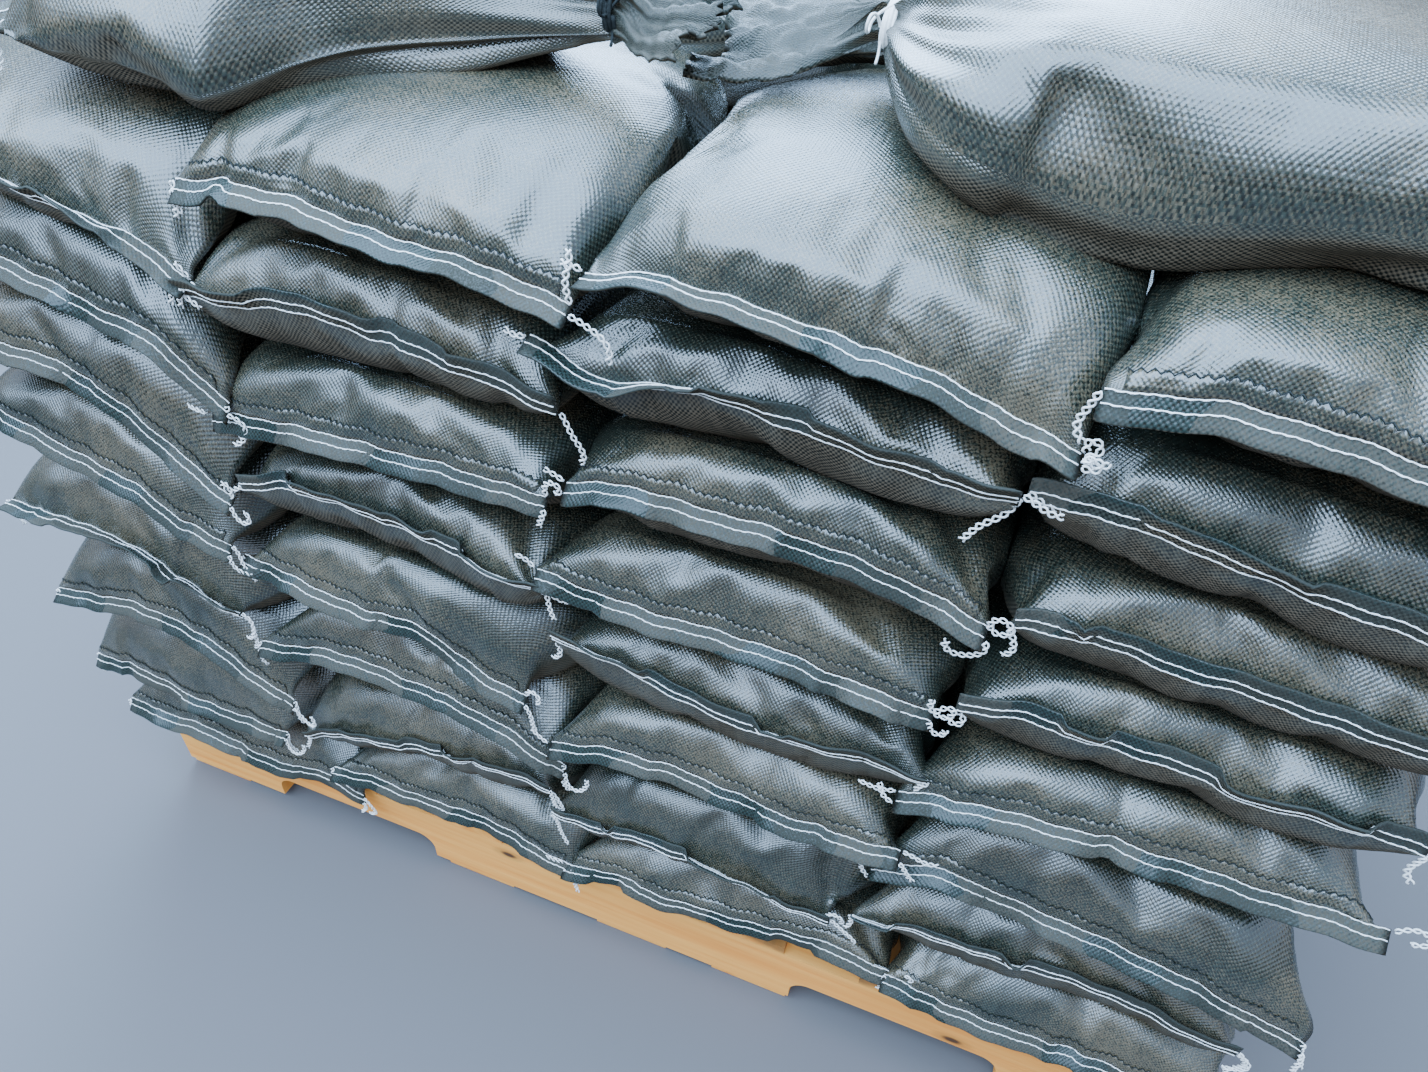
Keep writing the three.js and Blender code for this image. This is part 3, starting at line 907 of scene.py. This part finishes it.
# Runs the simulation, and moves each blank's skin as far as its cloth went, up to the cap. A sack
# that isn't filled up to its tie fades back to its own shape over the last rows.
def fill(blanks):
    pads = []
    for blank in blanks:
        sack = blank["sack"]
        strips, ends, bodies, cones, _ = blank["counts"]
        cloth = blank["skin"][strips:strips + ends + bodies + cones * isWhole(sack)]
        rows, columns, _ = cloth.shape
        mesh = bpy.data.meshes.new("filling")
        mesh.from_pydata((cloth.reshape(-1, 3) / metre).tolist(), [], ringFaces(rows, columns).tolist())
        pad = bpy.data.objects.new("filling", mesh)
        scene.collection.objects.link(pad)
        pin = pad.vertex_groups.new(name="pin")
        pin.add([*range(columns), *range((rows - 1) * columns, rows * columns)], 1.0, "REPLACE")
        spare = pad.vertex_groups.new(name="spare")
        inward = cloth[..., 1].mean(axis=1) - shape["hemRoot"]
        for index, weight in enumerate(spareCloth(sack, inward, columns, blank["rng"]).ravel()):
            spare.add([index], float(weight), "REPLACE")
        addCloth(pad)
        pads.append((pad, cloth, isWhole(sack)))
    for frameNumber in range(1, filling["frames"] + 1):
        scene.frame_set(frameNumber)
    reach = bpy.context.evaluated_depsgraph_get()
    for pad, cloth, whole in pads:
        filled = pad.evaluated_get(reach).data
        spots = np.empty(len(filled.vertices) * 3, np.float32)
        filled.vertices.foreach_get("co", spots)
        moved = spots.reshape(cloth.shape) * metre - cloth
        size = np.linalg.norm(moved, axis=-1, keepdims=True)
        moved *= np.minimum(1, filling["cap"] / np.maximum(size, 1e-6))
        if not whole:
            moved *= smooth((len(moved) - 1 - np.arange(len(moved))) / 6)[:, None, None]
        cloth += moved  # a view of the blank's skin
        mesh = pad.data
        bpy.data.objects.remove(pad)
        bpy.data.meshes.remove(mesh)
    scene.frame_set(1)


# Cord round the neck as a helix of close turns, then two ends that hang from it, each with a loop

tie = {"turns": 4, "points": 110, "room": 2.4, "radius": 1.5, "endPoints": 60, "endRadius": 1.1, "sides": 5}


def tieParts(sack, rng):
    neck = np.array([0, neckPlace(sack), -sack["neckDrop"]])
    turns = np.linspace(0, tie["turns"] * 2 * math.pi, tie["points"])
    radius = shape["tieRadius"] + tie["room"] + 0.5 * np.sin(turns * 1.7)
    along = np.linspace(-4.5, 4.5, tie["points"]) + 0.8 * np.sin(turns * 0.9)
    wraps = neck + joined(radius * np.cos(turns), along, radius * np.sin(turns))
    parts = [tubePart(wraps, tie["radius"], tie["sides"], sack["tie"], beside=(0, 1, 0))]
    way = np.linspace(0, 1, tie["endPoints"])
    for side in (-1, 1):
        bend = rng.uniform(0.5, 1.2)
        circle = smooth((way - 0.55) / 0.2) * 2 * math.pi * (way - 0.55) / 0.45
        x = side * (8 + 26 * way * bend + 9 * np.sin(circle))
        z = 17 - 34 * way ** 1.4 + 9 * (1 - np.cos(circle))
        y = 2 + 7 * np.sin(way * 5 + side) + 5 * way
        path = neck + joined(x, y, z)
        parts.append(tubePart(path, tie["endRadius"], tie["sides"], sack["tie"], beside=(0, 1, 0.2)))
    return parts


# All the parts of a sack, with its skin folded and pressed to its final shape
def sackParts(blank):
    sack, hem, counts, rng = blank["sack"], blank["hem"], blank["counts"], blank["rng"]
    skin = pressedFlat(sack, folded(blank["skin"], sack["folds"]))
    middle = skin[:, skin.shape[1] // 4]
    lengthwise = np.concatenate([[0], np.cumsum(np.linalg.norm(np.diff(middle, axis=0), axis=-1))])
    strips = counts[0]
    around = 2 * shape["cutWidth"]
    finish = np.full(len(skin) - 1, clothIndex)
    finish[:strips], finish[-counts[4]:] = stripIndex, mouthIndex
    columns = skin.shape[1]
    parts = [{**gridPart(skin, finish, around, lengthwise), "seam": strips * columns + np.arange(columns)}]
    if sack["fine"] and max(blank["turns"]) < 0:
        parts += hemFlap(skin, counts)
    parts += hemThreads(hem, sack["fine"], blank["turns"], blank["tails"], rng)
    if isWhole(sack):
        parts += tieParts(sack, rng)
    return parts


# Turns the parts about Z, then moves them
def placed(parts, turn, x, y, z):
    cosine, sine = math.cos(turn), math.sin(turn)
    spin = np.array([[cosine, -sine, 0], [sine, cosine, 0], [0, 0, 1]])
    return [{**part, "points": part["points"] @ spin.T + np.array([x, y, z])} for part in parts]


# The hem's ends, the neck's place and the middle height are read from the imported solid
def cadPoints(node):
    return np.array([vertex.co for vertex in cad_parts[node].data.vertices]) * metre


# Kinds of sack: the rows of its grid, the powers of its section, then its cone, wrinkles, spare
# cloth, neighbours and mouth. A buried one has layers over it, and the row behind is hidden.
buried = {
    "columns": 116, "endRows": 21, "bodyRows": 6, "coneRows": 4, "mouthRows": 2, "fine": True,
    "topPower": 3.0, "bottomPower": 3.4, "length": 470, "cone": pressedCone, "neckDrop": 0, "tie": cordAndShadowIndex,
    "pleatDepth": 1.5, "pucker": 0.08, "creases": 3, "spareAtHem": 0.003, "spareAtTie": 0.16,
    "own": (0, 0), "above": (0, 0), "below": (0, 0), "slump": 0, "dome": 0, "packed": True,
    "mouthLength": 62, "fan": 3.2, "mouthDrop": 0, "mouthTilt": 0, "folds": (), "tails": "",
}
uncovered = {
    **buried, "columns": 164, "endRows": 30, "bodyRows": 30, "coneRows": 28, "mouthRows": 6,
    "cone": looseCone, "pleatDepth": 4.0, "topPower": 2.4, "pucker": 0.04,
    "spareAtHem": 0.002, "spareAtTie": 0.05,
}
hidden = {**buried, "columns": 56, "endRows": 14, "bodyRows": 3, "coneRows": 3, "mouthRows": 1, "fine": False}
hiddenTop = {
    **uncovered, "columns": 84, "endRows": 16, "bodyRows": 20, "coneRows": 18, "mouthRows": 4, "fine": False,
    "topPower": 3.6, "spareAtTie": 0.16,
}
domes = {"A1": 8, "B1": 20, "C1": 20, "D1": 6}  # how far their tops rise
squarer = {"D1": 3.4}                           # the power of its top
# The left and right ends of hems that neighbours lap, from the neck
movedEnds = {"B8": (None, 128), "C8": (-200, None), "D8": (-166, None)}


def finishSack(piece, node):
    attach(piece, "root")
    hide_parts(node)


# A front sack, between its solid's hem and neck. Its top and bottom rise with its neighbours' hems.
def frontBlank(name, seed):
    heights, turns = hems[name]
    corners = cadPoints(f"sack_{name}")
    mouth = corners[corners[:, 1] > corners[:, 1].max() - 1]
    x, z = mouth[:, 0].mean(), mouth[:, 2].mean()
    edge = corners[corners[:, 1] < corners[:, 1].min() + 1]
    left, right = edge[:, 0].min() - x, edge[:, 0].max() - x
    movedLeft, movedRight = movedEnds.get(name, (None, None))
    left, right = movedLeft or left, movedRight or right
    sack = {**(uncovered if name.endswith("1") else buried), "dome": domes.get(name, 0), "own": heights}
    sack["folds"], sack["tails"] = folds.get(name, ()), name
    column, layer = name[0], int(name[1])
    sack["topPower"] = squarer.get(name, sack["topPower"])
    if layer == 8:
        sack["bottomPower"] = 9
    sack["above"] = hems[f"{column}{layer - 1}"][0] if layer > 1 else heights
    sack["below"] = hems[f"{column}{layer + 1}"][0] if layer < 8 else [-height for height in heights]
    blank = sackBlank(sack, ((left, heights[0]), (right, heights[-1])), heights, turns, seed)
    return {**blank, "place": (0, x, 0, z), "node": f"sack_{name}", "name": f"front_{name}"}


# The row behind: four sacks to a layer, turned round, one piece for each layer

backRow = {
    "pitch": 318,
    "ends": (
        ((-165, -20), (150, 5)), ((-150, 10), (155, -15)), ((-155, -10), (160, 15)), ((-150, 5), (165, -20)),
    ),
    "slopes": (hanging, hanging, turnedUp, (-20, -50, -30)),
}


# A hidden hem's heights run straight between its ends, with a few millimetres of chance
def backBlanks(layer, seed):
    rng = np.random.default_rng(seed)
    node = f"sack_row_back_{layer}"
    corners = cadPoints(node)
    low, high = corners.min(axis=0), corners.max(axis=0)
    mouths = corners[corners[:, 1] < low[1] + 1]
    x, z = mouths[:, 0].mean(), (low[2] + high[2]) / 2
    blanks = []
    for index, ends in enumerate(backRow["ends"]):
        inner = np.interp(np.linspace(0, 1, 7), [0, 1], [ends[0][1], ends[1][1]]) + rng.uniform(-9, 9, 7)
        slopes = backRow["slopes"][rng.integers(len(backRow["slopes"]))]
        blank = sackBlank(hiddenTop if layer == 1 else hidden, ends, tuple(inner), slopes, seed * 10 + index)
        blank["place"] = (math.pi, x + (index - 1.5) * backRow["pitch"], 0, z)
        blanks.append({**blank, "node": node, "name": f"back_layer_{layer}"})
    return blanks


# Sacks lying across the top. Turned about the tie: with no turn the hem points to +X.

lying = {
    **uncovered, "cone": pressedCone, "topPower": 1.9, "bottomPower": 3.0, "pleatDepth": 5.5, "slump": 22,
    "spareAtTie": 0.16, "packed": False, "mouthRows": 22, "mouthLength": 100, "fan": 4.6, "mouthDrop": 12,
}
outOfView = {"columns": 100, "endRows": 22, "bodyRows": 20, "coneRows": 20, "mouthRows": 8}
plainHeights = (0, 4, 2, -3, 0, 3, 0)
topSacks = {
    "sack_top_1": {
        "at": (-28, -353), "turn": 179, "length": 440, "cone": narrowCone, "spareAtTie": 0.08,
        "sag": (-285, 16), "topPower": 1.7, "slump": 38,
        "ends": ((-150, -10), (150, -35)), "slopes": (20, -10, 10),
        "heights": (-10, -6, -14, -20, -22, -30, -35),
        "mouthLength": 74, "fan": 3.4, "mouthDrop": -6, "mouthTilt": -14,
    },
    "sack_top_2": {
        "at": (150, -300), "turn": -5, "cone": bluntCone, "sag": (318, 20), "pleatDepth": 6.5,
        "tie": threadIndex, "mouthLength": 122, "fan": 5.4, "mouthDrop": 14, "mouthTilt": 24,
    },
    "sack_top_3": {
        "at": (-150, -150), "turn": 26, "sink": 15.5, "neckDrop": 40, "mouthLength": 70, "mouthDrop": 0,
    },
    "sack_top_4": {"at": (-62, 345), "turn": 180, **outOfView},
    "sack_top_5": {"at": (95, 345), "turn": 1, **outOfView},
}


# The near side of a sack that lies over the valley between two others sags into it, by a bell
# curve across the valley
sagging = {"start": 50, "reach": 90, "top": 1000, "halfWidth": 75}


def sagged(points, place):
    valley, depth = place["sag"]
    near = smooth((place["at"][1] - sagging["start"] - points[:, 1]) / sagging["reach"])
    low = smooth((sagging["top"] - points[:, 2]) / sagging["reach"])
    drop = depth * np.exp(-((points[:, 0] - valley) / sagging["halfWidth"]) ** 2) * near * low
    return points - joined(0.0, 0.0, drop)


# A sack across the top, level with its solid and turned about its tie
def topBlank(name, seed):
    place = topSacks[name]
    sack = {**lying, **{key: value for key, value in place.items() if key in lying}}
    ends = place.get("ends", ((-160, 0), (160, 0)))
    blank = sackBlank(sack, ends, place.get("heights", plainHeights), place.get("slopes", hanging), seed)
    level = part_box("sack_top_4")
    z = (level[0].z + level[1].z) / 2 * metre - place.get("sink", 0)
    turn = math.radians(place["turn"] + 90)
    x = place["at"][0] + math.sin(turn) * neckPlace(sack)
    y = place["at"][1] - math.cos(turn) * neckPlace(sack)
    return {**blank, "place": (turn, x, y, z), "node": name, "name": name.replace("sack_", "")}


blanks = [frontBlank(name, 100 + number) for number, name in enumerate(hems)]
for layer in range(1, 9):
    blanks += backBlanks(layer, 200 + layer)
blanks += [topBlank(name, 300 + number) for number, name in enumerate(topSacks)]
print("sacks laid out")
fill(blanks)
print("sacks filled")
sackNames = dict.fromkeys(blank["name"] for blank in blanks)
for name in sackNames:
    together = [blank for blank in blanks if blank["name"] == name]
    parts = [part for blank in together for part in placed(sackParts(blank), *blank["place"])]
    lies = topSacks.get(f"sack_{name}", {})
    if "sag" in lies:
        parts = [{**part, "points": sagged(part["points"], lies)} for part in parts]
    finishSack(makePiece(name, parts), together[0]["node"])
print("sacks finished")


# Pallet wood

woodLook = {
    "light": (1.0, 0.46, 0.105, 1), "dark": (0.86, 0.30, 0.056, 1),
    "grain": (3.0, 70.0),     # scale along it and across it
    "darkBrown": (0.10, 0.050, 0.028, 1), "darkBandFrom": 0.10, "darkBandBelow": 0.112,
    "knots": ((-0.120, 0.082), (0.405, 0.060), (-0.47, 0.062)),
    "knotScale": (70, 150),
}


def woodFinish(name, grainAxis):
    shader = Shader(bpy.data.materials.new(name))
    solid = shader.place()
    along, over = woodLook["grain"]
    stretch = [along if axis == grainAxis else over for axis in range(3)]
    lined = shader.node("ShaderNodeMapping", {}, {"Vector": solid, "Scale": stretch})
    grain = shader.noise(lined, 1.0, 5, 0.6)
    wide = shader.node("ShaderNodeMapping", {}, {"Vector": solid, "Scale": [size * 0.22 for size in stretch]})
    rings = shader.noise(wide, 1.0, 3, 0.5)
    share = shader.steps(grain * 0.6 + rings * 0.5, 0.38, 0.72)
    colour = shader.mix(share, woodLook["dark"], woodLook["light"])

    # Knots along the front stringer, and a darker band along its upper edge on the right
    x, _, z = shader.split(solid)
    knotAcross, knotUp = woodLook["knotScale"]
    for knotX, knotZ in woodLook["knots"]:
        across, up = (x - knotX) * knotAcross, (z - knotZ) * knotUp
        ring = (across * across + up * up).maths("SQRT") + (grain - 0.5) * 0.5
        knot = shader.steps(ring, 1.0, 0.35) * 0.75 + shader.steps(ring, 1.9, 1.0) * 0.25
        colour = shader.mix(knot, colour, woodLook["darkBrown"])
    right = shader.steps(x, woodLook["darkBandFrom"] - 0.14, woodLook["darkBandFrom"] + 0.1)
    high = shader.steps(z + (rings - 0.5) * 0.03, woodLook["darkBandBelow"] - 0.014, woodLook["darkBandBelow"])
    colour = shader.mix((right * high * (0.35 + grain)).clamped() * 0.85, colour, woodLook["darkBrown"])
    return shader.finish(height=grain * 0.0012, Base_Color=colour, Roughness=0.75, Specular_IOR_Level=0.12)


lengthwiseWood = woodFinish("stringer_wood", 0)
crosswiseWood = woodFinish("board_wood", 1)
for node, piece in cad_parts.items():
    if node.startswith("stringer"):
        piece.material_slots[0].material = lengthwiseWood
    elif "board" in node:
        piece.material_slots[0].material = crosswiseWood
print("wood finished")


# Floor and light

floorLook = {"half": 12.0, "colour": (0.115, 0.107, 0.109, 1), "roughness": 0.9}


def addFloor():
    half = floorLook["half"]
    corners = [(-half, -half, 0), (half, -half, 0), (half, half, 0), (-half, half, 0)]
    mesh = bpy.data.meshes.new("floor")
    mesh.from_pydata(corners, [], [(0, 1, 2, 3)])
    floor = bpy.data.objects.new("floor", mesh)
    shader = Shader(bpy.data.materials.new("pale_floor"))
    mesh.materials.append(shader.finish(Base_Color=floorLook["colour"], Roughness=floorLook["roughness"]))
    scene.collection.objects.link(floor)


lights = {
    "sky": {"place": (-0.5, -1.1, 3.2), "aim": (0, -0.3, 0.7), "power": 600, "colour": (0.50, 0.73, 1.04)},
    "back": {"place": (-1.2, 3.0, 2.5), "aim": (0, -0.2, 0.9), "power": 830, "colour": (0.46, 0.71, 1.04)},
}
lightSize = 4.0
dome = {
    "strength": 2.25,
    "stops": (
        (0.0, (0.04, 0.04, 0.05, 1)), (0.5, (0.05, 0.05, 0.06, 1)), (0.54, (0.07, 0.07, 0.08, 1)),
        (0.565, (0.62, 0.50, 0.38, 1)), (0.62, (0.50, 0.62, 0.80, 1)), (1.0, (0.54, 0.76, 1.12, 1)),
    ),
}


# The world is a soft dome: a warm rim at the horizon under a pale blue sky, and dark below
def addLights():
    for name, light in lights.items():
        data = bpy.data.lights.new(name, "AREA")
        data.shape = "SQUARE"
        data.size = lightSize
        data.energy = light["power"]
        data.color = light["colour"]
        lamp = bpy.data.objects.new(name, data)
        place = Vector(light["place"])
        facing = (Vector(light["aim"]) - place).to_track_quat("-Z", "Y")
        lamp.matrix_world = Matrix.Translation(place) @ facing.to_matrix().to_4x4()
        scene.collection.objects.link(lamp)
    shader = Shader(bpy.data.worlds.new("studio"))
    _, _, height = shader.split(shader.node("ShaderNodeTexCoord").pick("Generated"))
    level = shader.node("ShaderNodeMapRange", {}, [height, -1.0])
    sky = shader.node("ShaderNodeValToRGB", {"stops": dome["stops"]}, [level])
    glow = shader.node("ShaderNodeBackground", {}, [sky, dome["strength"]])
    shader.node("ShaderNodeOutputWorld", {}, {"Surface": glow})
    scene.world = shader.owner


addFloor()
addLights()
print("floor and lights made")

meshes = [thing.data for thing in scene.objects if thing.type == "MESH"]
triangles = sum(len(face.vertices) - 2 for mesh in meshes for face in mesh.polygons)
print(f"{triangles} triangles in all")
